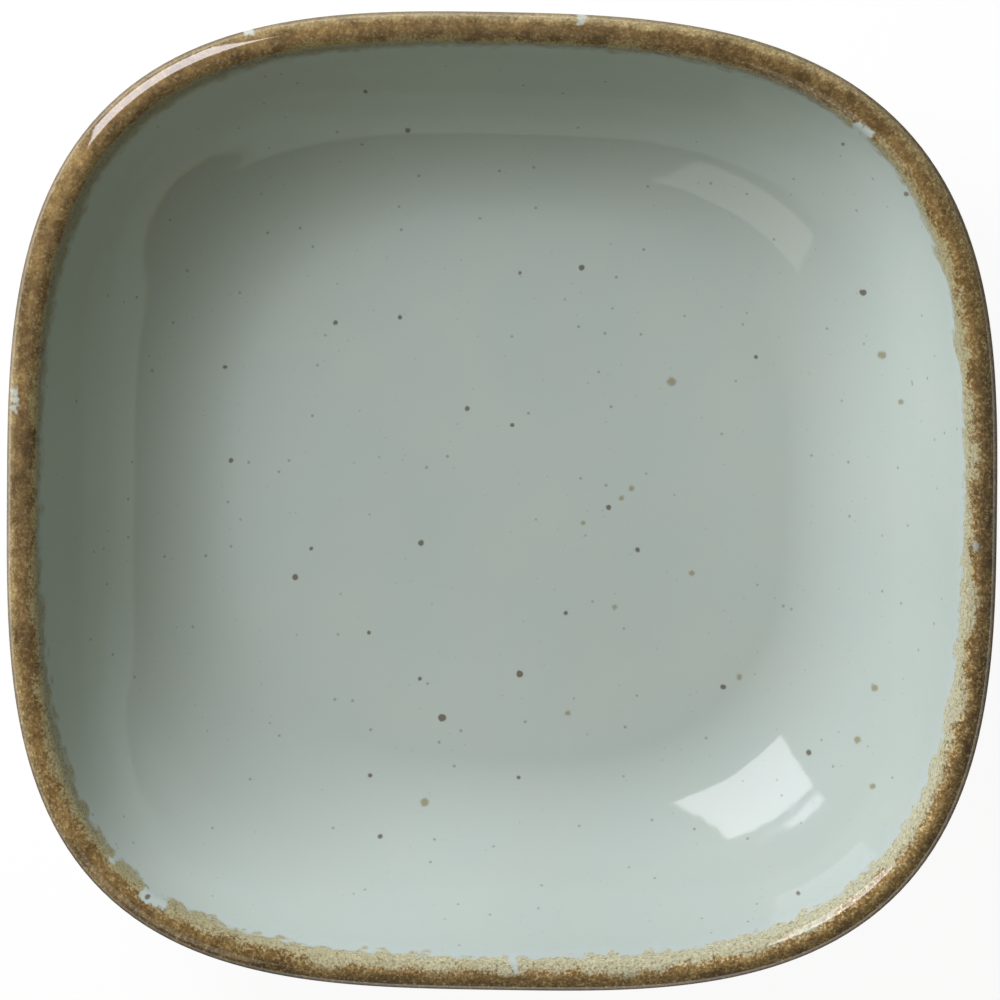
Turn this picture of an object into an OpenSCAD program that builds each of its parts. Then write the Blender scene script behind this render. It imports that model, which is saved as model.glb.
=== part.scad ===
// Square bowl with rounded corners, standing on a foot ring. One clay body carries four coats of
// glaze: the inside, the brown rim band, the outside and the recess under the base.
// The origin is on the ground at the middle of the foot, +Z is up, and X runs along one side.

/* [Bowl] */
// Width over the glazed rim, across two opposite sides
bowl_w = 150; // [120:1:200]
// Depth over the glazed rim, across the other two sides
bowl_d = 148.3; // [120:0.1:200]
// Height from the ground to the top of the glazed rim
bowl_h = 38; // [30:0.5:60]
// Squareness of the rim outline: 2 is an ellipse, higher is squarer
rim_power = 3.1; // [2.4:0.1:5]
// Squareness of the outline at the middle of the floor
middle_power = 2.7; // [2:0.1:3]

/* [Wall] */
// Width of the floor inside, out to where the wall begins to curve up
floor_w = 84; // [60:1:88]
// How much higher the shallow dish that the floor and the wall share is at the rim than at the middle
floor_dish = 2.6; // [0:0.1:4]
// Thickness of the clay at the floor
base_t = 4.8; // [3.5:0.1:7]
// Thickness of the clay at the lip, which is rounded over its whole thickness
lip_t = 4.2; // [3:0.1:5.5]
// How far round its ellipse the wall curves, in degrees: more makes it steeper at the rim
wall_sweep = 65; // [50:1:72]

/* [Foot] */
// Width of the foot ring on the ground
foot_w = 92; // [90:1:100]
// Thickness of the foot ring on the ground
foot_t = 4.4; // [3.6:0.1:7]
// Height of the recess inside the foot ring
foot_h = 2.2; // [1.8:0.1:4]
// Draft of both faces of the foot ring, in degrees
foot_draft = 12; // [5:1:20]
// Rounding of the two bearing edges
edge_r = 0.7; // [0.3:0.1:0.8]
// Hollow rounding where the foot meets the wall and the base
heel_r = 1.2; // [0.6:0.1:1.5]

/* [Glaze] */
// Thickness of every coat of glaze
glaze_t = 0.4; // [0.2:0.05:0.6]
// Height of the brown rim band on the inside
band_in_h = 3.1; // [2.9:0.1:9]
// Height of the brown rim band on the outside
band_out_h = 5; // [4.5:0.1:10]
// Height of the bare clay above the ground on both faces of the foot ring
bare_h = 1; // [0.8:0.1:1.4]

/* [Hidden] */

// Points round each outline, and steps along each stretch of the profile
round_steps = 56;
floor_steps = 3;
inside_steps = 10;
outside_steps = 8;
lip_steps = 8;
edge_steps = 2;
heel_steps = 3;
// How much closer the points lie at the corners than along the sides
corner_crowding_share = 0.35;
// How late the outline turns square on its way out: higher leaves more of the middle round
squaring_power = 4;
// Overrun of the foot below the ground plane that trims it flat
overrun = 1;

bowl_hw = bowl_w / 2;
foot_hw = foot_w / 2;
floor_hw = floor_w / 2;
lip_r = lip_t / 2;
// Centre of the lip's rounding, which is also the upper end of the wall's middle line
lip_c = [bowl_hw - glaze_t - lip_r, bowl_h - glaze_t - lip_r];
// Height of the middle of the base's thickness, at the middle of the bowl
mid_z = foot_h + base_t / 2;
// Half axes of the ellipse that lifts the wall's middle line above the dish
wall_run = (lip_c.x - floor_hw) / sin(wall_sweep);
wall_rise = (lip_c.y - mid_z - floor_dish) / (1 - cos(wall_sweep));

// A profile point is [half width, height], and a row is [profile point, direction out of the clay].
function toward(a) = [cos(a), sin(a)];
// A convex stretch turns round a centre in the clay, and a hollow one round a centre outside it.
function convex_row(c, r, a) = [c + r * toward(a), toward(a)];
function hollow_row(c, r, a) = [c - r * toward(a), toward(a)];

// The clay's middle line: the dish at half width x, and the wall t degrees round its ellipse
function dish(x) = floor_dish * pow(x / lip_c.x, 2);
function dish_rate(x) = 2 * floor_dish * x / pow(lip_c.x, 2);
function wall_x(t) = floor_hw + wall_run * sin(t);
function wall_middle(t) = [wall_x(t), mid_z + dish(wall_x(t)) + wall_rise * (1 - cos(t))];
function wall_slope(t) = atan(dish_rate(wall_x(t)) + wall_rise / wall_run * tan(t));
function wall_half(t) = (base_t + (lip_t - base_t) * t / wall_sweep) / 2;
function floor_row(x) = convex_row([x, mid_z + dish(x)], base_t / 2, atan(dish_rate(x)) + 90);
function inside_row(t) = convex_row(wall_middle(t), wall_half(t), wall_slope(t) + 90);
function outside_row(t) = convex_row(wall_middle(t), wall_half(t), wall_slope(t) - 90);

// The value between low and high at which the rising function f crosses zero
function crossing(f, low, high, rounds = 24) =
    let (m = (low + high) / 2)
    rounds == 0 ? m
    : f(m) > 0 ? crossing(f, low, m, rounds - 1)
    : crossing(f, m, high, rounds - 1);

// Where the brown band ends on the inside and on the outside
band_in_t = crossing(function (t) inside_row(t)[0].y - (bowl_h - band_in_h), 0, wall_sweep);
band_out_t = crossing(function (t) outside_row(t)[0].y - (bowl_h - band_out_h), 0, wall_sweep);

// The foot's outer face leans out and its inner face leans in, both by the draft.
foot_in_hw = foot_hw - foot_t;
edge_inset = edge_r * (1 - sin(foot_draft)) / cos(foot_draft);
edge_out_c = [foot_hw - edge_inset, edge_r];
edge_in_c = [foot_in_hw + edge_inset, edge_r];
// The outer heel touches both the foot's outer face and the wall's underside.
function heel_centre(t) = outside_row(t)[0] + heel_r * outside_row(t)[1];
function heel_gap(t) =
    let (c = heel_centre(t))
    (c.x - foot_hw) * cos(foot_draft) - c.y * sin(foot_draft) - heel_r;
heel_t = crossing(function (t) heel_gap(t), 0, wall_sweep);
heel_out_c = heel_centre(heel_t);
heel_in_z = foot_h - heel_r;
heel_in_c = [foot_in_hw - heel_in_z * tan(foot_draft) - heel_r / cos(foot_draft), heel_in_z];
bare_out = [foot_hw + bare_h * tan(foot_draft), bare_h];
bare_in = [foot_in_hw - bare_h * tan(foot_draft), bare_h];

// Stretches of the clay's profile, from the middle of the inside over the rim to the recess
floor_rows = [for (i = [1:floor_steps]) floor_row(floor_hw * i / floor_steps)];
wall_in_rows = [for (i = [1:inside_steps]) inside_row(band_in_t * i / inside_steps)];
inside_rows = concat(floor_rows, wall_in_rows);
lip_turn = wall_slope(wall_sweep);
lip_rows = [for (i = [0:lip_steps]) convex_row(lip_c, lip_r, lip_turn + 90 - 180 * i / lip_steps)];
band_out_rows = [outside_row(band_out_t)];
outside_rows = [for (i = [1:outside_steps])
    outside_row(band_out_t + (heel_t - band_out_t) * i / outside_steps)];
heel_start = wall_slope(heel_t) - 90;
heel_out_rows = [for (i = [1:heel_steps])
    hollow_row(heel_out_c, heel_r, heel_start + (-foot_draft - heel_start) * i / heel_steps)];
bare_out_rows = [[bare_out, toward(-foot_draft)]];
edge_out_rows = [for (i = [0:edge_steps])
    convex_row(edge_out_c, edge_r, -foot_draft + (foot_draft - 90) * i / edge_steps)];
edge_in_rows = [for (i = [0:edge_steps])
    convex_row(edge_in_c, edge_r, -90 + (foot_draft - 90) * i / edge_steps)];
bare_in_rows = [[bare_in, toward(foot_draft - 180)]];
heel_in_rows = [for (i = [0:heel_steps])
    hollow_row(heel_in_c, heel_r, foot_draft - 180 + (90 - foot_draft) * i / heel_steps)];

// Outline at a given half width: a rounded square that grows squarer from the middle to the rim
function power(hw) = middle_power + (rim_power - middle_power) * pow(hw / bowl_hw, squaring_power);
function reach(hw, a) =
    let (p = power(hw))
    hw / pow(pow(abs(cos(a)), p) + pow(abs(sin(a)) * bowl_w / bowl_d, p), 1 / p);
function crowded(u) = u + corner_crowding_share * 45 / PI * sin(4 * u);
function outline(point) = [for (i = [0:round_steps - 1])
    let (a = crowded(360 * i / round_steps), r = reach(point.x, a))
    [r * cos(a), r * sin(a), point.y]];

// A solid through the outlines of the profile points. A ring joins its last outline to its first,
// and any other solid is closed by a flat cap at each end.
module loft(points, ring = false) {
    n = round_steps;
    count = len(points);
    walls = [for (j = [0:count - (ring ? 1 : 2)], i = [0:n - 1])
        let (k = (i + 1) % n, below = j * n, above = (j + 1) % count * n)
        each [[below + i, above + i, above + k], [below + i, above + k, below + k]]];
    caps = ring ? [] : [[for (i = [0:n - 1]) i], [for (i = [0:n - 1]) count * n - 1 - i]];
    polyhedron([for (point = points) each outline(point)], concat(caps, walls));
}

function clay(rows) = [for (row = rows) row[0]];
function glazed(rows) = [for (row = rows) row[0] + glaze_t * row[1]];
function reversed(rows) = [for (i = [1:len(rows)]) rows[len(rows) - i]];
// The coat over a run of rows: the clay's own points one way, and the glaze's face back again
function coat(rows) = concat(clay(rows), glazed(reversed(rows)));

module clay_body() {
    foot_bottom = [[edge_out_c.x, -overrun], [edge_in_c.x, -overrun]];
    color("burlywood")
        difference() {
            loft(concat(
                clay(inside_rows), clay(lip_rows), clay(band_out_rows), clay(outside_rows),
                clay(heel_out_rows), clay(bare_out_rows), clay(edge_out_rows), foot_bottom,
                clay(edge_in_rows), clay(bare_in_rows), clay(heel_in_rows)));
            translate([-foot_hw, -foot_hw, -2 * overrun])
                cube([foot_w, foot_w, 2 * overrun]);
        }
}

module inside_glaze() {
    color("#a4afa9") loft(coat(inside_rows));
}

module rim_glaze() {
    rows = concat([wall_in_rows[inside_steps - 1]], lip_rows, band_out_rows);
    color("#675839") loft(coat(rows), ring = true);
}

module outside_glaze() {
    rows = concat(band_out_rows, outside_rows, heel_out_rows, bare_out_rows);
    color("#9fa9a3") loft(coat(rows), ring = true);
}

module recess_glaze() {
    rows = concat(bare_in_rows, heel_in_rows);
    color("#98a29c") loft(reversed(coat(reversed(rows))));
}

clay_body();
inside_glaze();
rim_glaze();
outside_glaze();
recess_glaze();
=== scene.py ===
import math
from types import SimpleNamespace

import bmesh
import bpy
from mathutils import Matrix, Vector


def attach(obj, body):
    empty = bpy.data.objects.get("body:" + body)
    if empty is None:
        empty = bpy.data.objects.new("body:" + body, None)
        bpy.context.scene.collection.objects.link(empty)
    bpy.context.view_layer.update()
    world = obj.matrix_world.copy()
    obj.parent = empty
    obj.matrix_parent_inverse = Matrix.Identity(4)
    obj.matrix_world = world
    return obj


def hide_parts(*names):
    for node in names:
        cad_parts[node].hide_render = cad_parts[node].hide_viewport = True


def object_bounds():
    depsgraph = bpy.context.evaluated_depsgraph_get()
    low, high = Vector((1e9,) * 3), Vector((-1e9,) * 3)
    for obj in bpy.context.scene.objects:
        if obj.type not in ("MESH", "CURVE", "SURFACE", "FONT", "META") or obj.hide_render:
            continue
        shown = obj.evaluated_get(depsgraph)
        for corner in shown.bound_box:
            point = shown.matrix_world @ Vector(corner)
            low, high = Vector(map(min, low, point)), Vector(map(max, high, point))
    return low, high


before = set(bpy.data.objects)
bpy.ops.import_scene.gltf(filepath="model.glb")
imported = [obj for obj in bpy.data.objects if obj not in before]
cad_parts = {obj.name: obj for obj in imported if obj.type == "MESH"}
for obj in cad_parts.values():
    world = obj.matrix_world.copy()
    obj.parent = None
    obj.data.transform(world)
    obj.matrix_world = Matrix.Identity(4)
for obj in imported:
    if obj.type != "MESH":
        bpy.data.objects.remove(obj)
cad_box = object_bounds()

MM = 0.001

# Sizes of the bowl, in metres, and its angles in degrees
HALF_WIDTH, HALF_DEPTH, HEIGHT = cad_box[1]
RIM_POWER = 3.1
MIDDLE_POWER = 2.7
SQUARING_POWER = 4
FLOOR_HALF = 42 * MM
FLOOR_DISH = 2.6 * MM
BASE_THICK = 4.8 * MM
LIP_RADIUS = 2.1 * MM
WALL_SWEEP = 65
FOOT_HALF = 46 * MM
FOOT_THICK = 4.4 * MM
RECESS_HEIGHT = 2.2 * MM
FOOT_DRAFT = 12
EDGE_RADIUS = 0.7 * MM
HEEL_RADIUS = 1.2 * MM
GLAZE = 0.4 * MM
BAND_INSIDE = 3.1 * MM
BAND_OUTSIDE = 5 * MM
BARE_HEIGHT = 1 * MM

# Steps round the bowl, and along each stretch of its profile
TURN_STEPS = 256
FLOOR_STEPS = 14
WALL_STEPS = 48
BAND_INSIDE_STEPS = 4
LIP_STEPS = 64
BAND_OUTSIDE_STEPS = 6
OUTSIDE_STEPS = 32
HEEL_STEPS = 8
EDGE_STEPS = 8
RECESS_STEPS = 10
# Every so many rows of a coat's face, its back has one
BACK_SKIP = 4
# Halvings that find where two lines meet, lengths that count as nothing, and the angle of a sharp edge
HALVINGS = 40
TINY = 1e-9
MERGE = 1e-7
SHARP = 40

LIP_CENTRE = (HALF_WIDTH - GLAZE - LIP_RADIUS, HEIGHT - GLAZE - LIP_RADIUS)
MIDDLE_HEIGHT = RECESS_HEIGHT + BASE_THICK / 2
WALL_RUN = (LIP_CENTRE[0] - FLOOR_HALF) / math.sin(math.radians(WALL_SWEEP))
WALL_RISE = (LIP_CENTRE[1] - MIDDLE_HEIGHT - FLOOR_DISH) / (1 - math.cos(math.radians(WALL_SWEEP)))


# The clay's profile. A row is (distance out, height, direction out of the clay in degrees).
def along(centre, radius, turn):
    angle = math.radians(turn)
    return centre[0] + radius * math.cos(angle), centre[1] + radius * math.sin(angle)


def convex(centre, radius, turn):
    return (*along(centre, radius, turn), turn)


def hollow(centre, radius, turn):
    return (*along(centre, -radius, turn), turn)


def dish(r):
    """Height of the shallow dish at distance r, and its slope."""
    return FLOOR_DISH * (r / LIP_CENTRE[0]) ** 2, 2 * FLOOR_DISH * r / LIP_CENTRE[0] ** 2


def floor_row(r):
    rise, rate = dish(r)
    return convex((r, MIDDLE_HEIGHT + rise), BASE_THICK / 2, math.degrees(math.atan(rate)) + 90)


def wall_line(t):
    """The wall's middle line t degrees round its ellipse: its place, slope and half thickness."""
    a = math.radians(t)
    r = FLOOR_HALF + WALL_RUN * math.sin(a)
    rise, rate = dish(r)
    slope = math.degrees(math.atan(rate + WALL_RISE / WALL_RUN * math.tan(a)))
    half = (BASE_THICK + (2 * LIP_RADIUS - BASE_THICK) * t / WALL_SWEEP) / 2
    return (r, MIDDLE_HEIGHT + rise + WALL_RISE * (1 - math.cos(a))), slope, half


def inside(t):
    centre, slope, half = wall_line(t)
    return convex(centre, half, slope + 90)


def outside(t):
    centre, slope, half = wall_line(t)
    return convex(centre, half, slope - 90)


def crossing(rising, low, high):
    """The value between low and high at which the rising function crosses zero."""
    for _ in range(HALVINGS):
        middle = (low + high) / 2
        if rising(middle) > 0:
            high = middle
        else:
            low = middle
    return middle


def spread(low, high, steps, first=0):
    """Even steps from low to high, without the first one where first is 1."""
    return [low + (high - low) * i / steps for i in range(first, steps + 1)]


draft = math.radians(FOOT_DRAFT)
foot_in = FOOT_HALF - FOOT_THICK
edge_inset = EDGE_RADIUS * (1 - math.sin(draft)) / math.cos(draft)


def heel_gap(t):
    """How far the outer heel's round, on the wall t degrees round its ellipse, is from the foot."""
    r, z, turn = outside(t)
    r, z = along((r, z), HEEL_RADIUS, turn)
    return (r - FOOT_HALF) * math.cos(draft) - z * math.sin(draft) - HEEL_RADIUS


band_in_t = crossing(lambda t: inside(t)[1] - (HEIGHT - BAND_INSIDE), 0, WALL_SWEEP)
band_out_t = crossing(lambda t: outside(t)[1] - (HEIGHT - BAND_OUTSIDE), 0, WALL_SWEEP)
heel_t = crossing(heel_gap, 0, WALL_SWEEP)
lip_slope = wall_line(WALL_SWEEP)[1]
heel_row = outside(heel_t)
heel_out_centre = along(heel_row[:2], HEEL_RADIUS, heel_row[2])
heel_in_height = RECESS_HEIGHT - HEEL_RADIUS
heel_in_reach = foot_in - heel_in_height * math.tan(draft) - HEEL_RADIUS / math.cos(draft)
heel_in_centre = (heel_in_reach, heel_in_height)
bare_lean = BARE_HEIGHT * math.tan(draft)

inside_rows = ([floor_row(r) for r in spread(0, FLOOR_HALF, FLOOR_STEPS)]
               + [inside(t) for t in spread(0, band_in_t, WALL_STEPS, 1)])
lip_rows = ([inside(t) for t in spread(band_in_t, WALL_SWEEP, BAND_INSIDE_STEPS)]
            + [convex(LIP_CENTRE, LIP_RADIUS, turn)
               for turn in spread(lip_slope + 90, lip_slope - 90, LIP_STEPS, 1)]
            + [outside(t) for t in spread(WALL_SWEEP, band_out_t, BAND_OUTSIDE_STEPS, 1)])
outside_rows = ([outside(t) for t in spread(band_out_t, heel_t, OUTSIDE_STEPS)]
                + [hollow(heel_out_centre, HEEL_RADIUS, turn)
                   for turn in spread(heel_row[2], -FOOT_DRAFT, HEEL_STEPS, 1)]
                + [(FOOT_HALF + bare_lean, BARE_HEIGHT, -FOOT_DRAFT)])
foot_rows = ([convex((FOOT_HALF - edge_inset, EDGE_RADIUS), EDGE_RADIUS, turn)
              for turn in spread(-FOOT_DRAFT, -90, EDGE_STEPS)]
             + [convex((foot_in + edge_inset, EDGE_RADIUS), EDGE_RADIUS, turn)
                for turn in spread(-90, FOOT_DRAFT - 180, EDGE_STEPS)])
recess_rows = ([(foot_in - bare_lean, BARE_HEIGHT, FOOT_DRAFT - 180)]
               + [hollow(heel_in_centre, HEEL_RADIUS, turn)
                  for turn in spread(FOOT_DRAFT - 180, -90, HEEL_STEPS)]
               + [(r, RECESS_HEIGHT, -90) for r in spread(heel_in_centre[0], 0, RECESS_STEPS, 1)])


# Each shoulder of the lip runs this many degrees down from the crest. The glaze is thinner along the
# middle of both, and thinner still on the inner one, round this tilt and over this many degrees.
SHOULDER_SPAN = 60
SHOULDER_THIN = 0.064 * MM
INNER_THIN = 0.012 * MM
INNER_TILT = 34
INNER_WIDTH = 12


def glaze_thickness(row):
    """The glaze leaves the lip's two shoulders flatter than a full round, the inner one most of all."""
    tilt = row[2] - 90
    if math.dist(row[:2], LIP_CENTRE) > LIP_RADIUS + TINY or abs(tilt) > SHOULDER_SPAN:
        return GLAZE
    both = SHOULDER_THIN * (1 - math.cos(math.tau * tilt / SHOULDER_SPAN)) / 2
    inner = INNER_THIN * math.exp(-((tilt - INNER_TILT) / INNER_WIDTH) ** 2)
    return GLAZE - both - inner


def glazed(row):
    return (*along(row[:2], glaze_thickness(row), row[2]), row[2])


# Where the hand-finished rim strays from an even outline: azimuth and width in degrees, and the share
# that it moves out
RIM_WANDER = [(52, 26, -0.0148), (225, 20, 0.008)]
WANDERS = [(math.cos(math.radians(azimuth)), math.sin(math.radians(azimuth)), math.radians(width), out)
           for azimuth, width, out in RIM_WANDER]


# Turning a profile into a rounded square
def power(half):
    return MIDDLE_POWER + (RIM_POWER - MIDDLE_POWER) * (half / HALF_WIDTH) ** SQUARING_POWER


def reach(half, x, y):
    """How far out the outline of this half width lies along the direction (x, y), a unit long."""
    p = power(half)
    even = half / (abs(x) ** p + abs(y * HALF_WIDTH / HALF_DEPTH) ** p) ** (1 / p)
    wander = sum(out * math.exp(-((1 - x * ax - y * ay) / (1 - math.cos(width))))
                 for ax, ay, width, out in WANDERS)
    return even * (1 + wander * (half / HALF_WIDTH) ** SQUARING_POWER)


# The lip is as thick at the corners as along the sides, and this far in the wall goes back to even shares
LIP_KEPT = 5 * MM
WALL_EVEN = 16 * MM


def facing(x, y):
    """The cosine between the direction (x, y) and the way that the rim's outline faces there."""
    across = abs(x) ** (RIM_POWER - 1)
    along_y = abs(y) ** (RIM_POWER - 1) * (HALF_WIDTH / HALF_DEPTH) ** RIM_POWER
    return (across * abs(x) + along_y * abs(y)) / math.hypot(across, along_y)


def square_up(bm):
    """Moves each turned point out along its own radius, from a circle to a rounded square."""
    for v in bm.verts:
        half = math.hypot(v.co.x, v.co.y)
        if half > TINY:
            x, y = v.co.x / half, v.co.y / half
            inset = HALF_WIDTH - half
            shared = reach(half, x, y)
            kept = reach(HALF_WIDTH, x, y) - inset / facing(x, y)
            step = min(max((WALL_EVEN - inset) / (WALL_EVEN - LIP_KEPT), 0), 1)
            r = shared + (kept - shared) * step * step * (3 - 2 * step)
            v.co.x, v.co.y = r * x, r * y


def inward_of(row):
    """How far a row lies in from the widest outline, as seen from above, or down the outside, below 0."""
    down = LIP_CENTRE[1] - row[1]
    return -down if row[2] < 0 and down > 0 else HALF_WIDTH - row[0]


def turned(name, rows, ring):
    """A piece turned from these rows. A ring closes on its first row, and other pieces at the middle."""
    bm = bmesh.new()
    layer = bm.verts.layers.float.new("inward")
    points = []
    for row in rows:
        v = bm.verts.new((row[0], 0, row[1]))
        v[layer] = inward_of(row)
        points.append(v)
    ends = points[1:] + points[:1] if ring else points[1:]
    edges = [bm.edges.new(pair) for pair in zip(points, ends)]
    bmesh.ops.spin(bm, geom=points + edges, cent=(0, 0, 0), axis=(0, 0, 1),
                   angle=math.tau, steps=TURN_STEPS, use_merge=True, use_duplicate=False)
    bmesh.ops.remove_doubles(bm, verts=bm.verts, dist=MERGE)
    square_up(bm)
    bmesh.ops.recalc_face_normals(bm, faces=bm.faces)
    for edge in bm.edges:
        if len(edge.link_faces) == 2 and edge.calc_face_angle() > math.radians(SHARP):
            edge.smooth = False
    for face in bm.faces:
        face.smooth = True
    mesh = bpy.data.meshes.new(name)
    bm.to_mesh(mesh)
    bm.free()
    piece = bpy.data.objects.new(name, mesh)
    bpy.context.scene.collection.objects.link(piece)
    return piece


def coat(name, rows, ring):
    """A coat of glaze: its face over the rows, and its back on the clay with fewer rows."""
    face = [glazed(row) for row in rows]
    back = [rows[-1]] + rows[-BACK_SKIP:BACK_SKIP:-BACK_SKIP] + [rows[0]]
    return turned(name, face + back, ring)


class Wire:
    """A socket of a finish. Arithmetic on it adds Math nodes."""

    def __init__(self, finish, socket):
        self.finish, self.socket = finish, socket

    def math(self, operation, *others):
        inputs = dict(enumerate([self, *others]))
        return self.finish.add("ShaderNodeMath", {"operation": operation}, inputs)

    def __add__(self, other):
        return self.math("ADD", other)

    def __mul__(self, other):
        return self.math("MULTIPLY", other)

    def __sub__(self, other):
        return self.math("SUBTRACT", other)

    def __truediv__(self, other):
        return self.math("DIVIDE", other)

    def __rsub__(self, other):
        return self.math("MULTIPLY", -1).math("ADD", other)

    def __neg__(self):
        return self.math("MULTIPLY", -1)

    __radd__ = __add__
    __rmul__ = __mul__

    def size(self):
        """The value without its sign."""
        return self.math("ABSOLUTE")

    def least(self, other):
        return self.math("MINIMUM", other)

    def most(self, other):
        return self.math("MAXIMUM", other)

    def ramp(self, low, high):
        """0 below low and 1 above high, with a smooth step between."""
        return self.finish.add("ShaderNodeMapRange", {"interpolation_type": "SMOOTHSTEP"},
                               {"Value": self, "From Min": low, "From Max": high})


# A dot of the glaze is full inside the first share of its radius, and gone outside the second
DOT_CORE = 0.4
DOT_EDGE = 1.25


class Finish:
    """The nodes of a material or the world, with one method that adds to them."""

    def __init__(self, owner):
        self.owner = owner
        owner.use_nodes = True
        self.tree = owner.node_tree
        self.tree.nodes.clear()

    def add(self, kind, settings, inputs, output=0):
        node = self.tree.nodes.new(kind)
        for key, value in settings.items():
            setattr(node, key, value)
        for key, value in inputs.items():
            socket = node.inputs[key]
            if isinstance(value, Wire):
                self.tree.links.new(value.socket, socket)
            else:
                socket.default_value = value
        return Wire(self, node.outputs[output])

    def vector(self, operation, first, second, output=0):
        return self.add("ShaderNodeVectorMath", {"operation": operation}, {0: first, 1: second}, output)

    def place(self):
        """Where a point of the bowl is, in millimetres."""
        place = self.add("ShaderNodeTexCoord", {}, {}, "Object")
        return self.add("ShaderNodeVectorMath", {"operation": "SCALE"}, {"Vector": place, "Scale": 1 / MM})

    def axis(self, place, name):
        return self.add("ShaderNodeSeparateXYZ", {}, {0: place}, name)

    def inward(self):
        """How far in from the widest line a point is, in millimetres, or down the outside, below 0."""
        return self.add("ShaderNodeAttribute", {"attribute_name": "inward"}, {}, "Fac") / MM

    def noise(self, place, size, octaves=2, rough=0.5, pattern=0.0):
        """Cloudy noise around 0, mostly between -1 and 1, with features of this size in millimetres."""
        value = self.add("ShaderNodeTexNoise", {"noise_dimensions": "4D"},
                         {"Vector": place, "Scale": 1 / size, "Detail": octaves,
                          "Roughness": rough, "W": pattern}, "Fac")
        return (value - 0.5) * 4

    def dots(self, place, cell, radius):
        """Round dots of up to this radius at random places, 1 inside each and 0 outside."""
        distance = self.add("ShaderNodeTexVoronoi", {"feature": "F1"},
                            {"Vector": place, "Scale": 1 / cell}, "Distance")
        return 1 - distance.ramp(radius * DOT_CORE / cell, radius * DOT_EDGE / cell)

    def mix(self, amount, low, high):
        """Colour low where amount is 0 and high where it is 1."""
        return self.add("ShaderNodeMix", {"data_type": "RGBA"}, {0: amount, 6: low, 7: high}, 2)

    def shade(self, colour, factor):
        """A colour made lighter or darker by a factor."""
        grey = self.add("ShaderNodeCombineColor", {}, {0: factor, 1: factor, 2: factor})
        return self.add("ShaderNodeMix", {"data_type": "RGBA", "blend_type": "MULTIPLY"},
                        {0: 1.0, 6: colour, 7: grey}, 2)

    def bump(self, height, strength, distance):
        return self.add("ShaderNodeBump", {},
                        {"Strength": strength, "Distance": distance, "Height": height})

    def close(self, shader, kind="ShaderNodeOutputMaterial"):
        self.tree.links.new(shader.socket, self.tree.nodes.new(kind).inputs["Surface"])
        return self.owner

    def seen(self):
        """1 where the camera, a reflection or glass looks straight at this, 0 where it lights the bowl."""
        path = [self.add("ShaderNodeLightPath", {}, {}, ray)
                for ray in ("Is Camera Ray", "Is Glossy Ray", "Is Transmission Ray")]
        return path[0].most(path[1]).most(path[2])


def srgb(red, green, blue):
    """A display colour, 0 to 255, as the linear colour a shader takes."""
    def linear(c):
        c /= 255
        return c / 12.92 if c <= 0.04045 else ((c + 0.055) / 1.055) ** 2.4
    return linear(red), linear(green), linear(blue), 1.0


PALE = srgb(162, 174, 169)
PALE_WARM = srgb(164, 174, 167)
PALE_BLUE = srgb(168, 181, 182)
# the band's inner edge colour, painted as it looks lit (cream) and in shade (olive)
CREAM_LIT = srgb(171, 168, 140)
OLIVE_SHADED = srgb(126, 115, 71)
TAN = srgb(152, 125, 78)
BROWN = srgb(112, 88, 49)
DARK_BROWN = srgb(76, 57, 29)
GRAIN_LIGHT = srgb(198, 181, 132)
IRON = srgb(78, 64, 40)
IRON_TAN = srgb(126, 118, 82)
CLAY = srgb(188, 166, 134)
CLAY_DARK = srgb(170, 146, 112)

# The larger specks of the inside, and where the pale glaze runs up over the brown band:
# distance along X and along Y, and radius, in millimetres
IRON_SPECKS = [
    (-10.5, -35.5, 0.6), (1.5, -28.5, 0.55), (-33.5, -14, 0.45), (-14, -8.5, 0.45), (10.5, 34.5, 0.45),
    (46.5, -39.5, 0.45), (54, 31.5, 0.5), (-7, 12.5, 0.4), (33, -30, 0.4), (15, -2.5, 0.4), (19.5, -9, 0.4),
    (-27.5, 25.5, 0.35), (-17.5, 26.5, 0.35), (-43.5, 4, 0.35), (-19.5, -53.5, 0.35), (0, 10, 0.35),
    (-44.5, 18.5, 0.35), (-16, 55.5, 0.4), (37.5, 21, 0.3), (1.5, -44.5, 0.3), (8.5, -19, 0.3),
    (-21.5, -44.5, 0.3), (1, 33.5, 0.3), (-22, -22.5, 0.3), (-31, -9.5, 0.3), (-22, 61.5, 0.3),
    (-14, -29.5, 0.3), (51, 54.5, 0.3), (45.5, -59.5, 0.3), (60.7, 47.2, 0.4),
]
RIM_SPECKS = [(60.4, 49.2, 0.3), (-53, -60.6, 0.4)]
TAN_SPECKS = [
    (24.5, 17, 0.65), (-13, -48.5, 0.6), (57, 22, 0.6), (56.5, -29, 0.55), (54, -37, 0.5), (16, -18, 0.4),
    (35.5, -28.5, 0.45), (18.5, 0.5, 0.4), (17, -1, 0.35), (11, -5, 0.35), (28, -12.5, 0.4),
    (9, -34.5, 0.4), (60, 15, 0.4), (56.5, -43.5, 0.4),
]
PALE_RUNS = [
    (71.8, -5.6, 0.6), (-73.7, 15.9, 0.6), (-73.7, 14.7, 0.7), (-73.7, 13.5, 0.7), (11.7, 73.2, 0.8),
    (-38.6, 70.9, 0.8),
]
PALE_NOTCH = [
    (2.2, -68.3, 0.85), (2.5, -69.1, 0.65), (2.8, -69.8, 0.5), (3, -70.5, 0.4), (3.2, -71.1, 0.3),
]
PALE_BAYS = [
    (53.4, 57.2, 0.9), (54.6, 56.4, 1), (-51.9, -59.4, 1.2), (-53.3, -60.3, 0.9), (-52.5, -60.8, 1),
    (-51.6, -61.2, 1), (-50.7, -61.8, 0.7), (-50.3, -60.2, 0.9), (-58, -54.9, 0.7), (-57.2, -54.2, 0.9),
]
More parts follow.
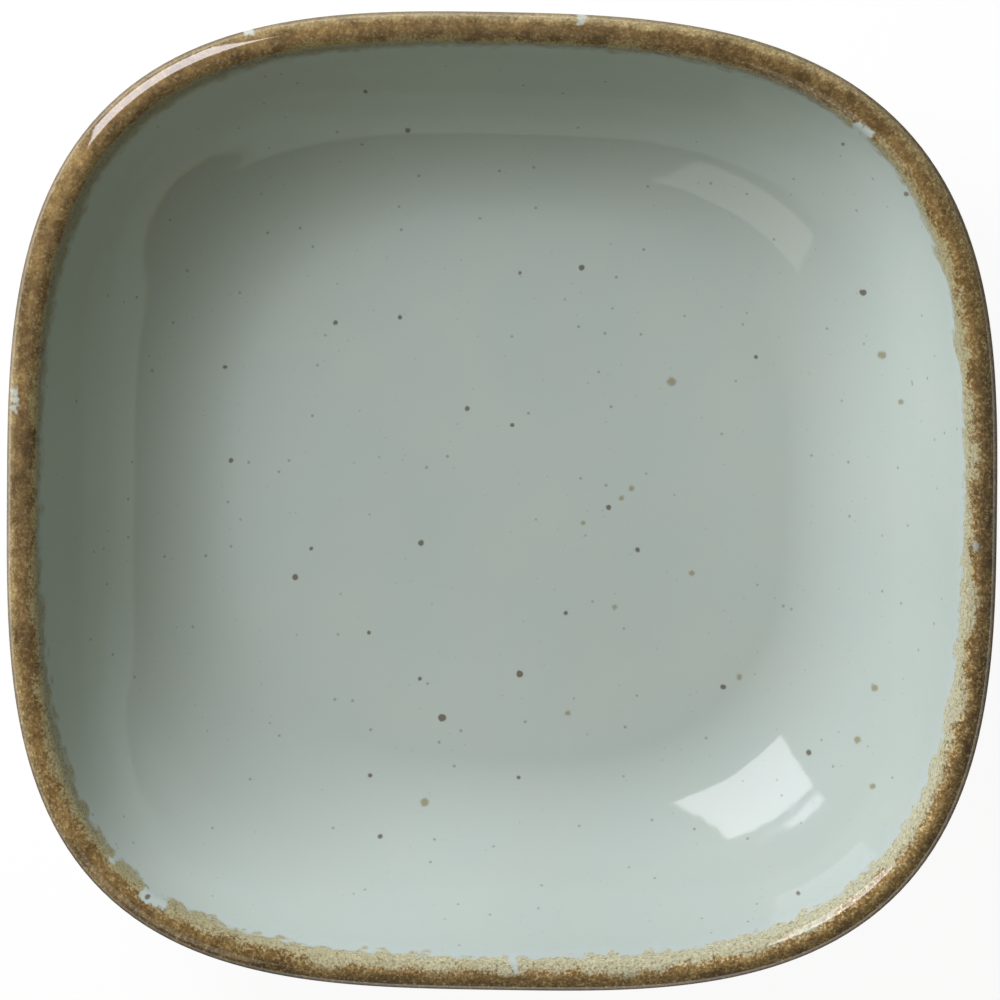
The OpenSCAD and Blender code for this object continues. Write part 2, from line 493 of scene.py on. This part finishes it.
# How soft the edges of each kind of spot are, and how far they stray, in millimetres
RUN_EDGE = (0.3, 0.45)
NOTCH_EDGE = (0.2, 0.12)
BAY_EDGE = (0.25, 0.4)
TAN_EDGE = (0.26, 0.16)
IRON_EDGE = (0.14, 0.1)
FAR_AWAY = 9.0

# The scattered specks: spacing and largest radius, in millimetres
MIDDLING_DOTS = (3.6, 0.28)
FINE_DOTS = (2.1, 0.15)

# The glaze's clouds and mottling: size in millimetres, octaves, roughness and which pattern of noise
MARKS = {
    "cloud": (24, 2, 0.5, 0.0),
    "grain": (0.42, 2, 0.75, 0.0),
    "blotch": (0.6, 1, 0.6, 4.0),
    "mottle": (1.7, 2, 0.6, 2.0),
    "patch": (7, 2, 0.5, 7.0),
    "scallop": (3.6, 2, 0.5, 5.0),
    "warmth": (12, 3, 0.5, 1.0),
    "swell": (7, 2, 0.5, 0.0),
}
WOBBLE = (0.8, 1, 0.5, 9.0)
DRAWN = (2.6, 2, 0.55)
DRAWN_SHIFT = 0.9
CLAY_GRAIN = (0.5, 3, 0.6)
CLAY_CLOUD = (5, 3)

# Distances in from the rim's widest line, in millimetres, or down the outside, below 0
BAND_WIDE = 4.9
BAND_LOWEST = -4.0
BAND_LOWEST_SOFT = 0.4
RUNS_END = (-1.3, -0.3)
EDGE_COLOUR_FROM = 4.3
DARK_RING = 2.3
GLOSS_FROM = (0.1, 0.6)
GLOSS_TO = (3.4, 4)
WORN_HALF = (0.25, 0.7)

# The pale glaze turns a little deeper in two steps on the way in from the rim
WALL_DEEPER = (12, 30)
FLOOR_DEEPER = (34, 62)

# X times Y in square millimetres is about this large at the corners of the rim
CORNER_PRODUCT = 4000
# The way across the bowl towards the side whose inner faces the lamp lights, along which the band is
# painted lighter and creamier, how fast it does so, and its middle value
LIT_SIDE_WAY = (0.8, -1.15, 0)
LIT_SIDE_RATE = 0.0037
LIT_SIDE_MIDDLE = 0.5

GLAZE_IOR = 1.6
GLOSS_IOR = 1.8
GLAZE_ROUGH = 0.06
GLOSS_ROUGH = 0.05
WORN_ROUGH = 0.8
SWELL_HEIGHT = 0.012
MOTTLE_HEIGHT = 0.006
CLAY_ROUGH = 0.85


def spots(finish, place, centres, edge):
    """1 inside each of these upright round spots, whose edges are soft and a little ragged."""
    soft, ragged = edge
    flat = finish.vector("MULTIPLY", place, (1, 1, 0))
    wobble = finish.noise(place, *WOBBLE) * ragged
    nearest = FAR_AWAY
    for x, y, radius in centres:
        distance = finish.vector("DISTANCE", flat, (x, y, 0), "Value")
        nearest = (distance - radius).least(nearest)
    return 1 - (nearest + wobble).ramp(-soft, soft)


def glaze_marks(finish):
    """What the glaze's colours share: each mark, and where on the bowl a point is."""
    place = finish.place()
    inward = finish.inward()
    marks = {name: finish.noise(place, *mark) for name, mark in MARKS.items()}
    drawn = finish.noise(place, *DRAWN, inward * DRAWN_SHIFT)
    across = finish.vector("DOT_PRODUCT", place, LIT_SIDE_WAY, "Value")
    # 0 at the far left corner of the bowl and 1 at the near right one, for painted light: the band's inner
    # part is painted lighter towards the near right, whose inner faces the lamp lights, and darker towards
    # the shaded far left
    lit_side = (across * LIT_SIDE_RATE + LIT_SIDE_MIDDLE + marks["patch"] * 0.12).ramp(0.0, 1.0)
    # above 0 towards the far right and near left corners, and below 0 towards the other two
    x, y = finish.axis(place, "X"), finish.axis(place, "Y")
    mitre = x * y / CORNER_PRODUCT
    rising, falling = mitre.most(0), (-mitre).most(0)
    # above 0 towards the near left corner alone
    near_left = rising * ((x + y) * -0.008).most(0)
    return SimpleNamespace(place=place, inward=inward, y=y, drawn=drawn, lit_side=lit_side, mitre=mitre,
                           rising=rising, falling=falling, near_left=near_left, **marks)


def pale_colour(finish, at):
    """Grey-green with faint clouds."""
    pale = finish.mix(at.warmth.ramp(-1.4, 1.4), PALE, PALE_WARM)
    pale = finish.shade(pale, 1 + at.cloud * 0.012 + at.grain * 0.01 + at.mottle * 0.004)
    deeper = at.inward.ramp(*WALL_DEEPER) * 0.04 + at.inward.ramp(*FLOOR_DEEPER) * 0.06
    return finish.shade(pale, 1.04 - deeper)


def brown_band(finish, at):
    """How far a point is inside the band's ragged inner edge, and 1 on the band and 0 off it."""
    ragged = at.scallop.size() * 1.2 + at.mottle * 0.2 + at.blotch * 0.06
    corner = at.mitre.size() * 0.75 - at.mitre * 0.2
    wide = BAND_WIDE + corner - at.lit_side * 0.15 + ragged * (at.lit_side * 0.6 + 0.4) + at.patch * 0.3
    inner = wide - at.inward
    runs = spots(finish, at.place, PALE_RUNS, RUN_EDGE) * 0.6
    runs = runs.most(spots(finish, at.place, PALE_NOTCH, NOTCH_EDGE))
    runs = runs.most(spots(finish, at.place, PALE_BAYS, BAY_EDGE))
    runs = runs * (at.inward + at.scallop * 0.4).ramp(*RUNS_END)
    lowest = at.inward + at.scallop * 0.8 - BAND_LOWEST
    soft = 0.5 - at.lit_side * 0.36
    band = inner.ramp(-soft, soft + 0.05) * lowest.ramp(-BAND_LOWEST_SOFT, BAND_LOWEST_SOFT)
    return inner, band * (1 - runs)


def brown_colour(finish, at):
    """Mottled brown with light grains, which turns cream or olive along the band's inner edge. It is
    painted lighter and creamier where the lamp lights it and darker and olive where it is in shade.
    """
    mottled = at.patch * 0.35 + at.mottle * 0.35 + at.drawn * 0.45
    tone = finish.mix(mottled.ramp(-0.8, 0.8), DARK_BROWN, TAN)
    # most of the light grains lie along the widest line, and few in a darker ring on top of the lip; those
    # along the widest line are painted light, strongest at the far left and top, where the outer shoulder
    # faces the lamp
    outmost = (at.patch * 0.5 + at.mottle * 0.4 + at.mitre * 0.2 - at.inward).ramp(-1.8, -0.5)
    outmost = outmost * (at.inward + 0.2).ramp(-0.6, 0.4) * (1.1 - at.lit_side).ramp(0.0, 0.9)
    outmost = outmost * (1 - (-at.mitre).ramp(0.2, 0.8) * 0.6) * (at.y * 0.005 + 0.75)
    ring = 1 - (at.inward - DARK_RING + at.patch * 0.3 - at.mitre * 0.3).size().ramp(0.4, 1.2)
    # painted light: the light grains are painted denser towards the near right, where the lip's inner faces
    # are lit
    light_grain = (at.blotch * 0.8 + at.grain).ramp(-0.1, 1.15) * (at.lit_side * 0.45 + 0.3)
    light_grain = light_grain * (1 - ring * 0.45) + outmost * 0.5
    brown = finish.mix(light_grain, finish.mix(0.3, tone, BROWN), GRAIN_LIGHT)

    # painted shade: a dark line along the widest line, where the outline's edge is in shade
    brown = finish.shade(brown, at.inward.size().ramp(0.0, 0.8) * 0.4 + 0.6)
    # painted light and shade: the brown is painted lighter towards the lit near right and darker towards
    # the shaded far left, lighter again at the far-left and near-right corners, and a little darker at the
    # near-left corner
    lighter = at.falling * (at.lit_side * 0.35 + (1 - at.lit_side) * at.inward.ramp(1, 3.5) * 0.55)
    brown = finish.shade(brown, at.lit_side * 0.7 + 0.57 + lighter - at.near_left * 0.16)

    # painted light and shade: the edge zone reaches further out and turns cream towards the lit near right,
    # and stays olive towards the shaded far left
    edge_zone = at.inward - EDGE_COLOUR_FROM - at.rising * 0.8 + at.lit_side * 1.45
    edge_zone = edge_zone + at.mottle * 0.7 + at.patch * 1.1 + at.grain * 0.6
    edge_zone = (edge_zone - at.falling * at.lit_side * 1.1).ramp(-0.6, 0.6)
    edge_colour = finish.mix(at.lit_side * (1 - at.rising * 0.5), OLIVE_SHADED, CREAM_LIT)
    brown = finish.mix(edge_zone, brown, edge_colour)
    dark_grain = (-at.blotch - at.grain * 0.7).ramp(0.1, 1.2) * (0.46 + edge_zone * 0.04)
    brown = finish.mix(dark_grain, brown, DARK_BROWN)
    # painted light: the grain's contrast is painted stronger towards the lit near right
    return finish.shade(brown, 1 + at.grain * (at.lit_side * 0.27 + 0.24))


def glaze_finish(name):
    """Pale glaze with iron specks, breaking to mottled brown over the rim."""
    finish = Finish(bpy.data.materials.new(name))
    at = glaze_marks(finish)
    inner, band = brown_band(finish, at)
    # a pale blue halo inside the band's edge, painted only towards the lit near right
    halo = (1 - (-inner).ramp(0.0, 1.1)) * at.lit_side * 0.6
    pale = finish.mix(halo, pale_colour(finish, at), PALE_BLUE)
    colour = finish.mix(band, pale, brown_colour(finish, at))

    specks = finish.dots(at.place, *MIDDLING_DOTS) * 0.45
    specks = specks.most(finish.dots(at.place, *FINE_DOTS) * 0.25)
    if name == "inside_glaze":
        colour = finish.mix(spots(finish, at.place, TAN_SPECKS, TAN_EDGE) * 0.75, colour, IRON_TAN)
        specks = specks.most(spots(finish, at.place, IRON_SPECKS, IRON_EDGE) * 0.8)
    if name == "rim_glaze":
        specks = specks.most(spots(finish, at.place, RIM_SPECKS, IRON_EDGE) * 0.8)
    colour = finish.mix(specks * (1 - band * 0.5), colour, IRON)

    normal = finish.bump(at.swell * SWELL_HEIGHT + band * at.mottle * MOTTLE_HEIGHT, 1.0, 1.0 * MM)
    # the rim is worn matt along its widest line, and glossiest over the inner half of the lip
    worn = band * (1 - at.inward.size().ramp(*WORN_HALF))
    glossy = band * at.inward.ramp(*GLOSS_FROM) * (1 - at.inward.ramp(*GLOSS_TO))
    glossy = glossy * (1 - at.mitre.ramp(0.2, 0.7) * 0.85) * (1 - at.lit_side * 0.3)
    shader = finish.add("ShaderNodeBsdfPrincipled", {},
                        {"Base Color": colour, "Roughness": worn * WORN_ROUGH + GLAZE_ROUGH,
                         "Normal": normal, "IOR": GLAZE_IOR, "Coat Weight": glossy,
                         "Coat Roughness": GLOSS_ROUGH, "Coat IOR": GLOSS_IOR})
    return finish.close(shader)


def clay_finish(name):
    """Bare fired clay, matt and faintly grained."""
    finish = Finish(bpy.data.materials.new(name))
    place = finish.place()
    grain = finish.noise(place, *CLAY_GRAIN)
    colour = finish.mix(finish.noise(place, *CLAY_CLOUD).ramp(-1, 1), CLAY, CLAY_DARK)
    colour = finish.shade(colour, 1 + grain * 0.06)
    return finish.close(finish.add("ShaderNodeBsdfPrincipled", {},
                                   {"Base Color": colour, "Roughness": CLAY_ROUGH,
                                    "Normal": finish.bump(grain, 0.6, 0.15 * MM)}))


body_rows = inside_rows + lip_rows[1:] + outside_rows[1:] + foot_rows + recess_rows
pieces = {
    "clay_body": turned("bowl_body", body_rows, False),
    "inside_glaze": coat("inside_coat", inside_rows, False),
    "rim_glaze": coat("rim_coat", lip_rows, True),
    "outside_glaze": coat("outside_coat", outside_rows, True),
    "recess_glaze": coat("recess_coat", recess_rows, False),
}
for node, piece in pieces.items():
    piece.data.materials.append(clay_finish("bare_clay") if node == "clay_body" else glaze_finish(node))
    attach(piece, "root")
    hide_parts(node)

# Table, and the dark studio walls that reflections see, in metres
TABLE_HALF = 2.2
WALLS_RADIUS = 2.4
WALLS_LOWEST = 0.02
PAPER = (0.8, 0.8, 0.8, 1)
WHITE = (1, 1, 1, 1)
# The table shows this share of plain white, and the rest is lit, which keeps the bowl's shadow
PAPER_GLOW = 0.94
WALL_LEVEL = 0.12

LAMP_AIM = Vector((0, 0, 18)) * MM
KEY_COLOUR = (0.945, 0.935, 1.0)
FILL_COLOUR = (1, 0.92, 0.8)
# Each lamp's name, azimuth and elevation in degrees, distance, width and height in metres, watts, colour,
# and whether reflections show it
LAMPS = [
    ("key", 133, 35, 0.45, 0.212, 0.289, 3.1, KEY_COLOUR, False),
    ("key_seen", 130.7, 30.9, 0.445, 0.212, 0.289, 0.75, KEY_COLOUR, True),
    ("fill", 235, 30.4, 0.45, 0.25, 0.2, 0.13, FILL_COLOUR, True),
]
SKY_LEVEL = 0.174
SKY_COLOUR = (1, 0.95, 0.57, 1)

# The camera looks down, some 5 degrees off straight, and the picture is this wide at the rim's height
PICTURE_WIDTH = 1000 / 6.63 * MM
CAMERA_PLACE = Vector((80, 90, 38 + 1250)) * MM
CAMERA_AIM = Vector((0.12, 0.56, 38)) * MM
CAMERA_ROLL = math.radians(0.5)
SENSOR = 36


def staged(name, bm, material):
    mesh = bpy.data.meshes.new(name)
    bm.to_mesh(mesh)
    bm.free()
    mesh.materials.append(material)
    piece = bpy.data.objects.new(name, mesh)
    bpy.context.scene.collection.objects.link(piece)
    return piece


def table():
    """A white table, which also keeps the bowl's shadow."""
    bm = bmesh.new()
    bmesh.ops.create_grid(bm, x_segments=1, y_segments=1, size=TABLE_HALF)
    paper = Finish(bpy.data.materials.new("white_paper"))
    lit = paper.add("ShaderNodeBsdfDiffuse", {}, {"Color": PAPER})
    glow = paper.add("ShaderNodeEmission", {}, {"Color": WHITE, "Strength": 1.0})
    both = paper.add("ShaderNodeMixShader", {}, {0: paper.seen() * PAPER_GLOW, 1: lit, 2: glow})
    staged("table", bm, paper.close(both))


def studio_walls():
    """A wide dark dome that only reflections see."""
    bm = bmesh.new()
    bmesh.ops.create_uvsphere(bm, u_segments=48, v_segments=24, radius=WALLS_RADIUS)
    bmesh.ops.bisect_plane(bm, geom=bm.verts[:] + bm.edges[:] + bm.faces[:], plane_co=(0, 0, WALLS_LOWEST),
                           plane_no=(0, 0, -1), clear_outer=True)
    bmesh.ops.reverse_faces(bm, faces=bm.faces)
    cloth = Finish(bpy.data.materials.new("dark_cloth"))
    dim = cloth.add("ShaderNodeEmission", {}, {"Color": WHITE, "Strength": WALL_LEVEL})
    walls = staged("studio_walls", bm, cloth.close(dim))
    walls.visible_camera = walls.visible_diffuse = walls.visible_shadow = False
    walls.visible_transmission = walls.visible_volume_scatter = False


def soft_light(name, azimuth, elevation, distance, width, height, watts, colour, glossy):
    a, e = math.radians(azimuth), math.radians(elevation)
    way = Vector((math.cos(a) * math.cos(e), math.sin(a) * math.cos(e), math.sin(e)))
    data = bpy.data.lights.new(name, "AREA")
    data.shape, data.size, data.size_y = "RECTANGLE", width, height
    data.energy, data.color = watts, colour
    lamp = bpy.data.objects.new(name, data)
    lamp.location = LAMP_AIM + way * distance
    lamp.rotation_euler = (-way).to_track_quat("-Z", "Y").to_euler()
    lamp.visible_glossy = glossy
    bpy.context.scene.collection.objects.link(lamp)


table()
studio_walls()
for lamp in LAMPS:
    soft_light(*lamp)

world = Finish(bpy.data.worlds.new("studio"))
bpy.context.scene.world = world.owner
warm = world.add("ShaderNodeBackground", {}, {"Color": SKY_COLOUR, "Strength": SKY_LEVEL})
white = world.add("ShaderNodeBackground", {}, {"Color": WHITE, "Strength": 1.0})
sky = world.add("ShaderNodeMixShader", {}, {0: world.seen(), 1: warm, 2: white})
world.close(sky, "ShaderNodeOutputWorld")

aim = (CAMERA_AIM - CAMERA_PLACE).normalized()
right = aim.cross(Vector((-math.sin(CAMERA_ROLL), math.cos(CAMERA_ROLL), 0))).normalized()
camera_data = bpy.data.cameras.new("camera")
camera_data.sensor_width = SENSOR
camera_data.lens = SENSOR * (CAMERA_AIM - CAMERA_PLACE).length / PICTURE_WIDTH
camera_data.clip_start, camera_data.clip_end = 0.01, 20
camera = bpy.data.objects.new("camera", camera_data)
camera.location = CAMERA_PLACE
camera.rotation_euler = Matrix((right, right.cross(aim), -aim)).transposed().to_euler()
bpy.context.scene.collection.objects.link(camera)
bpy.context.scene.camera = camera
bpy.context.scene.view_settings.view_transform = "Standard"
